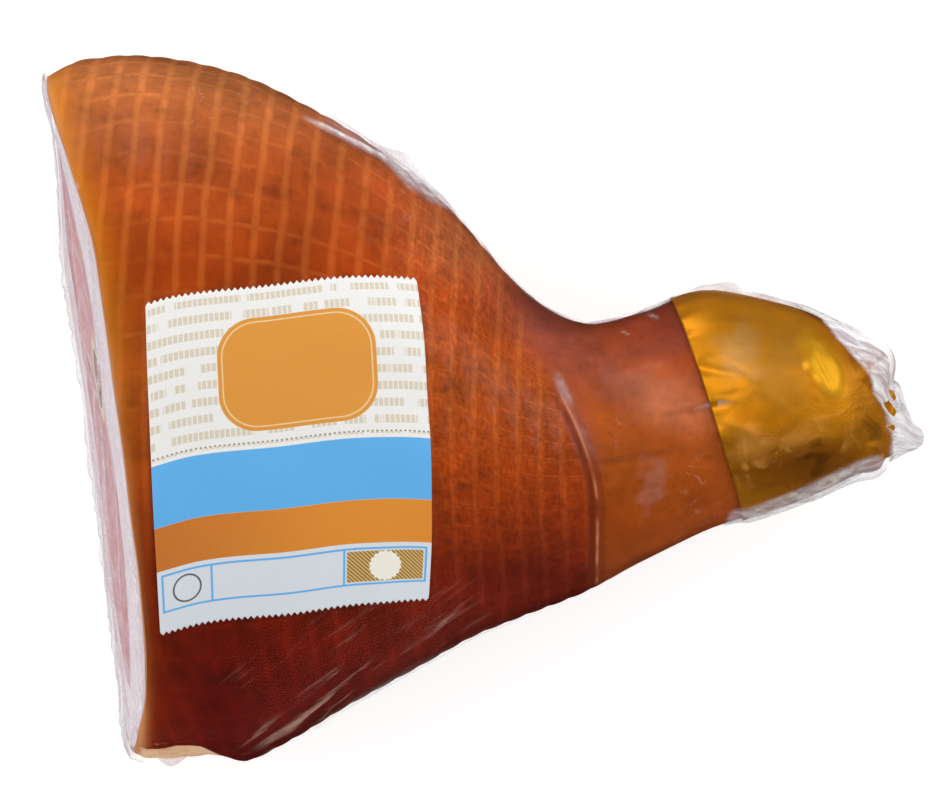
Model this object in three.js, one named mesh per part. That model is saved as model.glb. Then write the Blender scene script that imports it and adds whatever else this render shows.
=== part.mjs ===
// The shank half of a smoked leg of ham on the bone, lying on its inner side. Four separate pieces: the
// leg, a gold foil cap over the hock, a paper label, and the clear vacuum film that wraps them all.
// Millimetres, +Z up. The leg runs along X, from its cut face at -X to the hock at +X.

import * as THREE from "three";

// Driving dimensions.
const LABEL_WIDTH = 100;
const LABEL_HEIGHT = 125;
const GAP = 0.5; // clearance between the leg and what lies on it
const SLACK = 0.8; // clearance between the film and what lies under it
const PAPER = 0.3; // label thickness
const FOIL = 0.35; // foil thickness, with its overlaps
const FILM = 0.4; // film thickness, with its overlaps
const COLUMNS = 40; // points round each ring

// Sections across the leg. at is the place along X, upper and lower are the edges seen from above
// (largest and smallest Y), crown and belly are the highest and lowest points, girth is the height of
// the widest point, and fullness shapes the outline: 2 is an ellipse, more is squarer.
const SECTIONS = [
  { at: -148.5, upper: 129, lower: -129, crown: 146, belly: -6, girth: 62, fullness: 2.5 },
  { at: -120, upper: 137, lower: -131, crown: 149, belly: -7, girth: 62, fullness: 2.4 },
  { at: -85, upper: 130, lower: -126, crown: 146, belly: -7, girth: 61, fullness: 2.3 },
  { at: -50, upper: 111, lower: -109, crown: 138, belly: -5, girth: 60, fullness: 2.2 },
  { at: -15, upper: 82, lower: -91, crown: 126, belly: 0, girth: 59, fullness: 2.1 },
  { at: 15, upper: 47, lower: -78, crown: 112, belly: 7, girth: 58, fullness: 2.1 },
  { at: 40, upper: 33, lower: -68, crown: 99, belly: 12, girth: 57, fullness: 2.1 },
  { at: 62, upper: 37, lower: -56, crown: 94, belly: 15, girth: 56, fullness: 2.2 },
  { at: 86, upper: 46, lower: -44, crown: 92, belly: 16, girth: 55, fullness: 2.2 },
  { at: 110, upper: 42, lower: -37, crown: 86, belly: 18, girth: 53, fullness: 2.2 },
  { at: 135, upper: 33, lower: -27, crown: 74, belly: 23, girth: 49, fullness: 2.3 },
  { at: 149, upper: 22, lower: -20, crown: 63, belly: 31, girth: 46, fullness: 2.3 },
  { at: 159, upper: 9, lower: -15, crown: 52, belly: 39, girth: 45, fullness: 2.3 },
];

// The cut face leans back over the leg, is askew to it and is a little hollow from edge to edge.
const CUT_AT = SECTIONS[0].at;
const CUT_SKEW = -0.135; // change in X for each millimetre of Y
const CUT_LEAN = 0.135; // change in X for each millimetre of Z
const CUT_HOLLOW = 3.5; // depth of that hollow
const CUT_REACH = 130; // half the face's width
const CORNER = { from: 55, to: 125, share: 0.55 }; // the lean eases off by this share towards +Y
const SQUARE_AT = 0; // from here on the sections stand square to X
const LEAN_HEIGHT = 62; // the height that the lean turns about

const HAM_END = 139; // last full section of the leg, inside the foil
const FOIL_EDGE = 88; // where the foil's open edge crosses Y = 0
const FOIL_SKEW = -0.3; // the foil's edge slants across the leg
const FOIL_RINGS = 11;
const WRAP_END = SECTIONS[SECTIONS.length - 1].at;
const MOUTH = { at: 171, middle: -10, height: 44, reach: 5 }; // open mouth of the film's flat tail
const FLAT_AT = 1.45; // height of the leg's flattened underside above the film's

const LABEL_X = -71.6; // label's centre along X
const LABEL_ROUND = 15.8; // its distance from the crown towards -Y, measured round the leg
const LABEL_RISE = THREE.MathUtils.degToRad(8.2); // its top and bottom edges climb towards the hock
const LABEL_LEAN = THREE.MathUtils.degToRad(2.2); // its sides lean less, over the double slope
const LABEL_BOW = 3.5; // its side towards the hock bows where it crosses the crown
const TEETH = 22; // pinked teeth along the label's top and bottom edges
const TOOTH_DEPTH = 1.4;
const LABEL_ROWS = 10;

const FINISH = {
  rind: { color: 0x9c3a0c, roughness: 0.45, metalness: 0 },
  foil: { color: 0xc8921e, roughness: 0.3, metalness: 1 },
  paper: { color: 0xf2f0ea, roughness: 0.6, metalness: 0 },
  film: { color: 0xe8e6ea, roughness: 0.12, metalness: 0 },
};

const FIELDS = ["upper", "lower", "crown", "belly", "girth", "fullness"];
const blend = new THREE.CubicInterpolant(
  SECTIONS.map((s) => s.at),
  SECTIONS.flatMap((s) => FIELDS.map((f) => s[f])),
  FIELDS.length,
);

// The section at any place along the leg.
function sectionAt(at) {
  const values = blend.evaluate(THREE.MathUtils.clamp(at, CUT_AT, WRAP_END));
  return Object.fromEntries(FIELDS.map((f, i) => [f, values[i]]));
}

// How far the cut face stands along X from its corner sections.
function cutOffset(y, z) {
  const lean = CUT_LEAN * (1 - CORNER.share * THREE.MathUtils.smoothstep(y, CORNER.from, CORNER.to));
  return CUT_SKEW * y + lean * (z - LEAN_HEIGHT) + CUT_HOLLOW * (1 - (y / CUT_REACH) ** 2);
}

// A point of the leg's skin. angle 0 is towards +Y and a quarter turn is the crown.
function skinPoint(at, angle) {
  const s = sectionAt(at);
  const c = Math.cos(angle);
  const n = Math.sin(angle);
  const round = (Math.abs(c) ** s.fullness + Math.abs(n) ** s.fullness) ** (-1 / s.fullness);
  const y = (s.upper + s.lower) / 2 + ((s.upper - s.lower) / 2) * c * round;
  const z = s.girth + (n > 0 ? s.crown - s.girth : s.girth - s.belly) * n * round;
  const slant = Math.max(0, (SQUARE_AT - at) / (SQUARE_AT - CUT_AT));
  return new THREE.Vector3(at + slant * cutOffset(y, z), y, z);
}

// The skin's outward normal, from points a small step and a small turn away.
function skinNormal(at, angle) {
  const step = 0.5;
  const turn = 0.02;
  const from = Math.max(CUT_AT, at - step);
  const to = Math.min(WRAP_END, at + step);
  const along = skinPoint(to, angle).sub(skinPoint(from, angle));
  const round = skinPoint(at, angle + turn).sub(skinPoint(at, angle - turn));
  return round.cross(along).normalize();
}

// The skin moved outwards, and flattened where it would reach below floor.
function raised(at, angle, by, floor) {
  const p = skinPoint(at, angle).addScaledVector(skinNormal(at, angle), by);
  p.z = Math.max(p.z, floor);
  return p;
}

const angles = Array.from({ length: COLUMNS }, (_, i) => (i / COLUMNS) * 2 * Math.PI);
const range = (from, to, steps) =>
  Array.from({ length: steps + 1 }, (_, i) => from + ((to - from) * i) / steps);
const centreOf = (ring) =>
  ring.reduce((sum, p) => sum.add(p), new THREE.Vector3()).divideScalar(ring.length);
const shrunk = (ring, share) => {
  const centre = centreOf(ring);
  return ring.map((p) => p.clone().lerp(centre, 1 - share));
};
const shifted = (ring, by) => ring.map((p) => p.clone().add(by));

// A closed solid over a run of rings, each end closed on its ring's centre.
function skinned(rings, finish, name) {
  const ends = [centreOf(rings[0]), centreOf(rings[rings.length - 1])];
  const points = [...rings.flat(), ...ends];
  const faces = [];
  const n = rings[0].length;
  const first = points.length - 2;
  rings.slice(1).forEach((_, row) => {
    for (let i = 0; i < n; i++) {
      const a = row * n + i;
      const b = row * n + ((i + 1) % n);
      faces.push(a, b, b + n, a, b + n, a + n);
    }
  });
  const last = (rings.length - 1) * n;
  for (let i = 0; i < n; i++) {
    const j = (i + 1) % n;
    faces.push(first, j, i, first + 1, last + i, last + j);
  }
  return solid(points, faces, finish, name);
}

// A named mesh with its faces pointing outwards.
function solid(points, faces, finish, name) {
  let volume = 0;
  for (let i = 0; i < faces.length; i += 3) {
    const [a, b, c] = [0, 1, 2].map((k) => points[faces[i + k]]);
    volume += a.dot(b.clone().cross(c));
  }
  if (volume < 0) {
    for (let i = 0; i < faces.length; i += 3) [faces[i], faces[i + 1]] = [faces[i + 1], faces[i]];
  }
  const geometry = new THREE.BufferGeometry().setFromPoints(points).setIndex(faces);
  geometry.computeVertexNormals();
  const mesh = new THREE.Mesh(geometry, new THREE.MeshStandardMaterial(finish));
  mesh.name = name;
  return mesh;
}

// A ring on the cut face, as a share of the face's outline.
function faceRing(outline, share) {
  return shrunk(outline, share).map((p) => p.setX(CUT_AT + cutOffset(p.y, p.z)));
}

// Where the rings stand that the leg and the film share, closest together behind the cut's edge.
const BODY_AT = [
  ...[CUT_AT, CUT_AT + 3, CUT_AT + 9],
  ...range(CUT_AT + 20, -5, 10),
  ...range(6, 76, 7),
];
const CUT_RINGS = [0.4, 0.75, 0.93, 0.985]; // rings across the cut face, as shares of its outline
const HOCK_RINGS = [
  { share: 0.86, beyond: 4 },
  { share: 0.6, beyond: 7 },
  { share: 0.25, beyond: 8.5 },
]; // rings that round off the leg's end

function legRing(at) {
  return angles.map((angle) => raised(at, angle, 0, FLAT_AT));
}

// The leg: one natural piece of skin, fat, meat and bone.
function makeHam() {
  const cut = legRing(CUT_AT);
  const face = CUT_RINGS.map((share) => faceRing(cut, share));
  const body = [...BODY_AT, ...range(88, HAM_END, 5)].map(legRing);
  const end = body[body.length - 1];
  const hock = HOCK_RINGS.map((ring) =>
    shifted(shrunk(end, ring.share), new THREE.Vector3(ring.beyond, 0, 0)),
  );
  return skinned([...face, ...body, ...hock], FINISH.rind, "ham");
}

// One face of the foil, from its slanted open edge to its folded tip.
function foilFace(by) {
  const rings = range(0, 1, FOIL_RINGS).map((share) =>
    angles.map((angle) => {
      const y = skinPoint(FOIL_EDGE, angle).y;
      const edge = FOIL_EDGE + FOIL_SKEW * y;
      return raised(THREE.MathUtils.lerp(edge, WRAP_END - 1, share), angle, by, 0);
    }),
  );
  const tip = rings[rings.length - 1];
  return [...rings, shifted(shrunk(tip, 0.6), new THREE.Vector3(by, 0, 0))];
}

// The gold foil cap: a cup that is open towards the leg.
function makeFoil() {
  const outer = foilFace(GAP + FOIL).reverse();
  return skinned([...outer, ...foilFace(GAP)], FINISH.foil, "hock_foil");
}

// Spare film gathers in low fins along the leg's upper edge (angle 0) and lower edge (half a turn).
// from and to are places along X.
const FINS = [
  { from: -36, to: -10, height: 5, angle: 0 },
  { from: 5, to: 72, height: 2, angle: 0 },
  { from: 72, to: 150, height: 4, angle: 0 },
  { from: 96, to: 150, height: 4, angle: Math.PI },
];
const FIN_SPREAD = 0.01; // how fast a fin falls away to its sides

// How far the fins lift the film off the leg.
function finHeight(at, angle) {
  return FINS.reduce((sum, fin) => {
    const along = THREE.MathUtils.clamp((at - fin.from) / (fin.to - fin.from), 0, 1);
    const away = 1 - Math.cos(angle - fin.angle);
    return sum + fin.height * Math.sin(Math.PI * along) ** 0.5 * Math.exp(-away / FIN_SPREAD);
  }, 0);
}

const FILM_INNER = GAP + FOIL + SLACK; // how far the film's inner face stands off the leg
const MOUTH_HALF_GAP = 0.6; // half the height of the slit at the mouth

// One face of the film, from the middle of the cut face to the open mouth of its tail.
function filmFace(by) {
  const ring = (at) =>
    angles.map((angle) => raised(at, angle, by + finHeight(at, angle), FLAT_AT - by));
  const cut = new THREE.Vector3(-1, CUT_SKEW, CUT_LEAN).normalize().multiplyScalar(by);
  const rim = ring(CUT_AT);
  const face = CUT_RINGS.map((share) => shifted(faceRing(rim, share), cut));
  const corner = shifted(rim, cut.clone().multiplyScalar(0.7));
  const body = [...BODY_AT, ...range(88, WRAP_END, 7)].map(ring);
  const half = by - FILM_INNER + MOUTH_HALF_GAP;
  const mouth = angles.map((angle) => {
    const y = MOUTH.middle + (MOUTH.reach + half) * Math.cos(angle);
    return new THREE.Vector3(MOUTH.at, y, MOUTH.height + half * Math.sin(angle));
  });
  const neck = body[body.length - 1].map((p, i) => p.clone().lerp(mouth[i], 0.5));
  return [...face, corner, ...body, neck, mouth];
}

// The clear film bag: one skin over everything, open only at the mouth of its flattened tail.
function makeFilm() {
  const outer = filmFace(FILM_INNER + FILM);
  return skinned([...outer, ...filmFace(FILM_INNER).reverse()], FINISH.film, "vacuum_film");
}

// The angle at a distance round the leg from its crown, towards -Y.
function angleRound(at, distance) {
  const step = 0.02 * Math.sign(distance || 1);
  let angle = Math.PI / 2;
  let left = Math.abs(distance);
  for (;;) {
    const stride = skinPoint(at, angle).distanceTo(skinPoint(at, angle + step));
    if (stride >= left) return angle + (step * left) / stride;
    left -= stride;
    angle += step;
  }
}

// A point over the skin at a given X and a given distance round the leg from its crown.
function wrappedPoint(x, distance, by) {
  let at = x;
  let angle = angleRound(at, distance);
  for (let pass = 0; pass < 5; pass++) {
    at += x - skinPoint(at, angle).x;
    angle = angleRound(at, distance);
  }
  return raised(at, angle, by, 0);
}

// The label: paper wrapped on the leg, with pinked top and bottom edges.
function makeLabel() {
  const across = range(-0.5, 0.5, TEETH * 2);
  const down = range(-0.5, 0.5, LABEL_ROWS);
  const layer = (by) =>
    down.flatMap((v) =>
      across.map((u, i) => {
        const tooth = Math.abs(v) === 0.5 && i % 2 ? Math.sign(v) * TOOTH_DEPTH : 0;
        const p = u * LABEL_WIDTH + LABEL_BOW * (u + 0.5) * (1 - 4 * v * v);
        const q = v * LABEL_HEIGHT - tooth;
        const x = LABEL_X + p * Math.cos(LABEL_RISE) + q * Math.sin(LABEL_LEAN);
        const round = LABEL_ROUND - p * Math.sin(LABEL_RISE) + q * Math.cos(LABEL_LEAN);
        return wrappedPoint(x, round, by);
      }),
    );
  const points = [...layer(GAP + PAPER), ...layer(GAP)];
  const wide = across.length;
  const under = wide * down.length;
  const faces = [];
  const quad = (a, b, c, d) => faces.push(a, b, c, a, c, d);
  for (let row = 0; row < down.length - 1; row++) {
    for (let i = 0; i < wide - 1; i++) {
      const a = row * wide + i;
      quad(a, a + wide, a + wide + 1, a + 1);
      quad(under + a, under + a + 1, under + a + wide + 1, under + a + wide);
    }
    const left = row * wide;
    const right = left + wide - 1;
    quad(left, under + left, under + left + wide, left + wide);
    quad(right, right + wide, under + right + wide, under + right);
  }
  const bottom = wide * (down.length - 1);
  for (let i = 0; i < wide - 1; i++) {
    quad(i, i + 1, under + i + 1, under + i);
    quad(bottom + i, under + bottom + i, under + bottom + i + 1, bottom + i + 1);
  }
  return solid(points, faces, FINISH.paper, "label");
}

const pack = new THREE.Group();
pack.add(makeHam(), makeFoil(), makeLabel(), makeFilm());

// The origin is the centre of the pack's underside.
const box = new THREE.Box3().setFromObject(pack);
const centre = box.getCenter(new THREE.Vector3());
pack.position.set(-centre.x, -centre.y, -box.min.z);

export default pack;
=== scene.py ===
# %% [markdown]
# # A smoked leg of ham in its vacuum film
# A shank half of a leg of ham lies on its inner side. It is cooked and smoked in a net, so its rind
# carries the net's marks. A gold foil cap covers the hock, a paper label lies on the crown, and clear
# film is shrunk tightly over all of it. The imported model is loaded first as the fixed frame, and each
# piece is then built in its place.

# %% Load the fixed frame
import math

import bpy
import numpy as np
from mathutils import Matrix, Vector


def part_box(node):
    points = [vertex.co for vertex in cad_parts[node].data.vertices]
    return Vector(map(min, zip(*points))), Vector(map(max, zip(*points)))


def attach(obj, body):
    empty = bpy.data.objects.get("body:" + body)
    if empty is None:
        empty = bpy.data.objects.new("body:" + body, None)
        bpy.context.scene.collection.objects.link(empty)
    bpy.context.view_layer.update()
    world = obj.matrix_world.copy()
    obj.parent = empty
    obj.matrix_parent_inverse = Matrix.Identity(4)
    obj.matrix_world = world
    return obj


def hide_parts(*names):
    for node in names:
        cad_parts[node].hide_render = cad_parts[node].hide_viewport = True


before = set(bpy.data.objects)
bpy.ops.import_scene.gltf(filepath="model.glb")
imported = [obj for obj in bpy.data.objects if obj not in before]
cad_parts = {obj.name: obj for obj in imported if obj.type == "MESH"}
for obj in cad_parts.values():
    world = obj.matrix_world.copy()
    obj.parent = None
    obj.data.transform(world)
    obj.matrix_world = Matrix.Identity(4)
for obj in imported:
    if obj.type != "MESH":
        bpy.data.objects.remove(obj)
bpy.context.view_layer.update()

MM = 0.001  # this scene is worked out in millimetres, and each mesh is written in metres

# %% [markdown]
# ## The leg's skin as cross-sections
# A ham has no straight line to start from, so its skin is a run of rounded cross-sections along the
# leg. Each is a squarish ellipse with its own width, crown and belly, and a smooth curve joins them.
# The cut face leans and is a little hollow. All four pieces lie on this one skin, so they fit.

# %% The cross-sections, from the cut face to the hock
# Columns: place along the leg, edge towards +Y, edge towards -Y, crown, belly, height of the widest
# point, and fullness, where 2 is an ellipse and more is squarer.
SECTIONS = np.array([
    (-148.5, 129, -129, 146, -6, 62, 2.5),
    (-120, 137, -131, 149, -7, 62, 2.4),
    (-85, 130, -126, 146, -7, 61, 2.3),
    (-50, 111, -109, 138, -5, 60, 2.2),
    (-15, 82, -91, 126, 0, 59, 2.1),
    (15, 47, -78, 112, 7, 58, 2.1),
    (40, 33, -68, 99, 12, 57, 2.1),
    (62, 37, -56, 94, 15, 56, 2.2),
    (86, 46, -44, 92, 16, 55, 2.2),
    (110, 42, -37, 86, 18, 53, 2.2),
    (135, 33, -27, 74, 23, 49, 2.3),
    (149, 22, -20, 63, 31, 46, 2.3),
    (159, 9, -15, 52, 39, 45, 2.3),
])
CUT_AT, WRAP_END, HAM_END = -148.5, 159.0, 139.0
CUT_SKEW, CUT_LEAN, CUT_HOLLOW, CUT_REACH, LEAN_HEIGHT = -0.135, 0.135, 3.5, 130.0, 62.0
CORNER_FROM, CORNER_TO, CORNER_SHARE = 55.0, 125.0, 0.55  # the lean eases off towards +Y


def ease(low, high, value):
    """0 at low, 1 at high, and smooth between them, whichever is the greater."""
    t = np.clip((value - low) / (high - low), 0, 1)
    return t * t * (3 - 2 * t)


def section_at(at):
    """The six sizes of the section at each place along the leg."""
    place, sizes = SECTIONS[:, 0], SECTIONS[:, 1:]
    rise = np.diff(sizes, axis=0) / np.diff(place)[:, None]
    slope = np.vstack([0 * rise[:1], (rise[1:] + rise[:-1]) / 2, 0 * rise[:1]])
    at = np.clip(at, place[0], place[-1])
    i = np.clip(np.searchsorted(place, at) - 1, 0, len(place) - 2)
    gap = (place[i + 1] - place[i])[..., None]
    t = ((at - place[i]) / gap[..., 0])[..., None]
    return (
        sizes[i] * (1 + 2 * t) * (1 - t) ** 2
        + sizes[i + 1] * t * t * (3 - 2 * t)
        + slope[i] * gap * t * (1 - t) ** 2
        + slope[i + 1] * gap * t * t * (t - 1)
    )


def cut_offset(y, z):
    """How far the cut face stands along the leg from its corner sections."""
    lean = CUT_LEAN * (1 - CORNER_SHARE * ease(CORNER_FROM, CORNER_TO, y))
    return CUT_SKEW * y + lean * (z - LEAN_HEIGHT) + CUT_HOLLOW * (1 - (y / CUT_REACH) ** 2)


def skin(at, angle):
    """Points of the skin. Angle 0 is towards +Y and a quarter turn is the crown."""
    at, angle = np.broadcast_arrays(at, angle)
    upper, lower, crown, belly, girth, full = np.moveaxis(section_at(at), -1, 0)
    c, n = np.cos(angle), np.sin(angle)
    around = (np.abs(c) ** full + np.abs(n) ** full) ** (-1 / full)
    y = (upper + lower) / 2 + (upper - lower) / 2 * c * around
    z = girth + np.where(n > 0, crown - girth, girth - belly) * n * around
    slant = np.maximum(0, at / CUT_AT)
    return np.stack([at + slant * cut_offset(y, z), y, z], -1) + SHIFT


SHIFT = np.zeros(3)
ham_low, ham_high = (np.array(corner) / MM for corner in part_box("ham"))
HOCK_ROUND = 8.5  # how far the rounded hock stands beyond the last full section
unplaced = skin(np.linspace(CUT_AT, HAM_END, 400)[:, None], np.linspace(0, math.pi, 41)[None])
SHIFT = np.array([
    ham_high[0] - HAM_END - HOCK_ROUND,
    (ham_low[1] + ham_high[1] - unplaced[..., 1].min() - unplaced[..., 1].max()) / 2,
    ham_high[2] - unplaced[..., 2].max(),
])
print("the skin's zero in the packed frame, mm:", SHIFT.round(2))

# %% [markdown]
# ## Helpers for shaping a skin
# The leg, the film and the foil are each a grid of points: one row for each place along the leg and one
# column for each place round it. The seam is under the leg, where nobody looks first. A flat grid is
# added with Blender's own operator, its points are moved onto the skin, and the doubles along the
# seam and at the ends are merged, which closes it.

# %% Rows of points round the leg
def spread(low, high, count):
    return np.linspace(low, high, count)


def swell(points, size, seed, waves=28):
    """Smooth natural lumps, about size across and between about -1 and 1."""
    random = np.random.default_rng(seed)
    way = random.normal(size=(waves, 3))
    way *= random.uniform(0.6, 1.5, (waves, 1)) / np.linalg.norm(way, axis=1)[:, None]
    turns = points @ (way * (math.pi / size)).T + random.uniform(0, 2 * math.pi, waves)
    return np.cos(turns).sum(-1) * math.sqrt(1.0 / waves)


def around_ring(at, shares):
    """The angle at each share of the way round the leg, from the belly by +Y, crown and -Y."""
    fine = spread(-math.pi / 2, 1.5 * math.pi, 721)
    ring = skin(at, fine)
    run = np.concatenate([[0], np.cumsum(np.linalg.norm(np.diff(ring, axis=0), axis=1))])
    return np.interp(shares, run / run[-1], fine)


def outward(grid, closed=True):
    """Unit normals of a grid of points whose rows run along the leg and columns round it."""
    down = np.gradient(grid, axis=0)
    across = np.gradient(grid, axis=1)
    if closed:
        across[:, 0] = across[:, -1] = (grid[:, 1] - grid[:, -2]) / 2
    normal = np.cross(across, down)
    size = np.linalg.norm(normal, axis=-1, keepdims=True)
    normal = normal / np.maximum(size, 1e-9)
    for pole, near in ((0, 1), (-1, -2)):
        if size[pole].max() < 1e-6:
            middle = normal[near].mean(0)
            normal[pole] = middle / np.linalg.norm(middle)
    return normal


def settle(points, floor):
    """Points pressed softly up onto a floor, as a heavy leg flattens where it lies."""
    soft = 2.5
    over = points[..., 2] - floor
    pressed = points.copy()
    pressed[..., 2] = floor + (over + np.sqrt(over**2 + soft**2)) / 2 - soft / 2 * ease(0, 25, over)
    return pressed


# %% Turning rows of points into a piece
def alone(piece):
    bpy.ops.object.select_all(action="DESELECT")
    piece.select_set(True)
    bpy.context.view_layer.objects.active = piece


def sheet_of(name, grid, maps=None, marks=None):
    """A grid primitive laid over points, with its own UV maps and point marks."""
    rows, columns = grid.shape[:2]
    bpy.ops.object.select_all(action="DESELECT")
    bpy.ops.mesh.primitive_grid_add(x_subdivisions=columns - 1, y_subdivisions=rows - 1, size=1)
    piece = bpy.context.object
    piece.name = piece.data.name = name
    mesh = piece.data
    mesh.vertices.foreach_set("co", (grid * MM).astype(np.float32).ravel())
    corners = np.empty(len(mesh.loops), np.int32)
    mesh.loops.foreach_get("vertex_index", corners)
    mesh.uv_layers[0].name = "laid"
    for label, values in (maps or {}).items():
        layer = mesh.uv_layers.new(name=label)
        layer.data.foreach_set("uv", values.reshape(-1, 2)[corners].astype(np.float32).ravel())
    for label, values in (marks or {}).items():
        kind = "FLOAT" if values.shape == (rows, columns) else "FLOAT_COLOR"
        mark = mesh.attributes.new(label, kind, "POINT")
        mark.data.foreach_set("value" if kind == "FLOAT" else "color", values.astype(np.float32).ravel())
    return piece


def close_up(piece):
    """Merges the seam and the ends, turns the faces outwards and shades them smooth."""
    alone(piece)
    bpy.ops.object.mode_set(mode="EDIT")
    bpy.ops.mesh.select_all(action="SELECT")
    bpy.ops.mesh.remove_doubles(threshold=1e-6)
    bpy.ops.mesh.normals_make_consistent(inside=False)
    bpy.ops.object.mode_set(mode="OBJECT")
    bpy.ops.object.shade_smooth()
    print(piece.name, "has", len(piece.data.polygons), "faces")


def finish_modifier(piece, kind, **settings):
    alone(piece)
    modifier = piece.modifiers.new(kind.title(), kind)
    for setting, value in settings.items():
        setattr(modifier, setting, value)
    bpy.ops.object.modifier_apply(modifier=modifier.name)


# %% [markdown]
# ## Shader sums
# Each finish is written as sums of numbers, as on paper. One small class carries a value through the
# nodes and adds the node for each sum, and any other node comes from one method of the finish.

# %% A value in a finish, and the finish itself
def paint(code):
    """A linear colour from a screen colour code such as A8481C."""
    screen = [int(code[i : i + 2], 16) / 255 for i in (0, 2, 4)]
    return (*[v / 12.92 if v <= 0.04045 else ((v + 0.055) / 1.055) ** 2.4 for v in screen], 1.0)


class Value:
    """A number, place or colour on its way through the nodes of one finish."""

    def __init__(self, finish, socket):
        self.finish, self.socket = finish, socket

    def sum(self, operation, first, second=0.0):
        return self.finish.node("ShaderNodeMath", {"operation": operation}, {0: first, 1: second})

    def __add__(self, other):
        return self.sum("ADD", self, other)

    def __sub__(self, other):
        return self.sum("SUBTRACT", self, other)

    def __rsub__(self, other):
        return self.sum("SUBTRACT", other, self)

    def __mul__(self, other):
        return self.sum("MULTIPLY", self, other)

    def __truediv__(self, other):
        return self.sum("DIVIDE", self, other)

    def __pow__(self, other):
        return self.sum("POWER", self, other)

    def __abs__(self):
        return self.sum("ABSOLUTE", self)

    __radd__, __rmul__ = __add__, __mul__

    def fraction(self):
        return self.sum("FRACT", self)

    def most(self, other):
        return self.sum("MAXIMUM", self, other)

    def least(self, other):
        return self.sum("MINIMUM", self, other)

    def ease(self, low, high):
        """0 below low, 1 above high, and smooth between them."""
        return self.finish.node(
            "ShaderNodeMapRange",
            {"interpolation_type": "SMOOTHSTEP"},
            {"Value": self, "From Min": low, "From Max": high},
        )


class Finish:
    """One procedural material round a Principled surface."""

    def __init__(self, name, **constants):
        self.material = bpy.data.materials.new(name)
        self.material.use_nodes = True
        self.tree = self.material.node_tree
        self.surface = self.tree.nodes["Principled BSDF"]
        for socket, value in constants.items():
            self.surface.inputs[socket.replace("_", " ")].default_value = value
        self.place = self.node("ShaderNodeTexCoord", out="Object")

    def node(self, kind, settings=None, sockets=None, out=0):
        made = self.tree.nodes.new(kind)
        for setting, value in (settings or {}).items():
            setattr(made, setting, value)
        for socket, value in (sockets or {}).items():
            self.feed(made.inputs[socket], value)
        return Value(self, made.outputs[out])

    def feed(self, socket, value):
        if isinstance(value, Value):
            self.tree.links.new(value.socket, socket)
        else:
            socket.default_value = value

    def mark(self, name, out="Fac"):
        return self.node("ShaderNodeAttribute", {"attribute_name": name}, out=out)

    def parts(self, vector):
        """The three numbers of a place."""
        split = self.tree.nodes.new("ShaderNodeSeparateXYZ")
        self.feed(split.inputs[0], vector)
        return [Value(self, output) for output in split.outputs]

    def together(self, x, y, z=0.0):
        return self.node("ShaderNodeCombineXYZ", None, {0: x, 1: y, 2: z})

    def noise(self, scale, detail=3.0, rough=0.55, where=None, twist=0.0, out=0):
        sockets = {"Vector": where or self.place, "Scale": scale, "Detail": detail}
        sockets.update({"Roughness": rough, "Distortion": twist})
        return self.node("ShaderNodeTexNoise", {"noise_dimensions": "3D"}, sockets, out)

    def cells(self, scale, out="Distance", where=None, feature="F1"):
        """Cells round scattered points: the distance to a cell's point or to its edge, or its colour."""
        sockets = {"Vector": where or self.place, "Scale": scale}
        return self.node("ShaderNodeTexVoronoi", {"feature": feature}, sockets, out)

    def stretched(self, x, y, z, where=None):
        """Places scaled by different amounts each way, so that a pattern runs one way."""
        return self.node(
            "ShaderNodeVectorMath", {"operation": "MULTIPLY"}, {0: where or self.place, 1: (x, y, z)}
        )

    def scaled(self, colour, factor):
        """A colour made lighter or darker without losing its hue."""
        return self.node("ShaderNodeVectorMath", {"operation": "SCALE"}, {0: colour, "Scale": factor})

    def mix(self, share, first, second):
        return self.node("ShaderNodeMix", {"data_type": "RGBA"}, {0: share, 6: first, 7: second}, 2)

    def shaded(self, share, colour, factor):
        """A colour made lighter or darker by a factor over a share of the surface."""
        return self.mix(share, colour, self.scaled(colour, factor))

    def bump(self, height, distance, strength):
        sockets = {"Height": height, "Distance": distance, "Strength": strength}
        return self.node("ShaderNodeBump", None, sockets)

    def give(self, **links):
        for socket, value in links.items():
            self.feed(self.surface.inputs[socket.replace("_", " ")], value)


def hypotenuse(x, y):
    return (x**2.0 + y**2.0) ** 0.5


def dress(piece, finish):
    """Gives a piece one finish and takes away any other."""
    piece.data.materials.clear()
    piece.data.materials.append(finish.material)


# %% [markdown]
# ## The leg
# The leg is one natural piece of rind, fat, meat and bone. Rings of points run from the middle of the
# cut face, over its edge and along the rind, to the rounded hock. The net has pressed a low quilt into
# the rind, and the joint at the ankle leaves a deep crease, so both are shaped in the mesh. The mesh
# is too coarse for the net's fine threads, which come later as a finish.

# %% Where the rings of the leg stand
LEG_COLUMNS = 361
FACE_SHARES = np.concatenate([spread(0, 0.84, 20), spread(0.862, 0.975, 8), spread(0.982, 0.9965, 4)])
LEG_AT = np.concatenate([
    CUT_AT + np.array([0, 0.5, 1.1, 1.9, 2.8]),
    spread(CUT_AT + 4.1, 12, 106),
    spread(12.7, 46, 48),  # the crease needs finer rings
    spread(47.5, 74, 18),
    spread(77, HAM_END, 16),
])
HOCK_TURNS = spread(0, math.pi / 2, 9)[1:]
leg_shares = spread(0, 1, LEG_COLUMNS)


def ring_points(at, shares):
    return skin(at, around_ring(at, shares))


def cut_x(points):
    """Where the cut face stands along the leg, at each point's place on it."""
    return CUT_AT + cut_offset(points[..., 1] - SHIFT[1], points[..., 2] - SHIFT[2]) + SHIFT[0]


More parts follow.
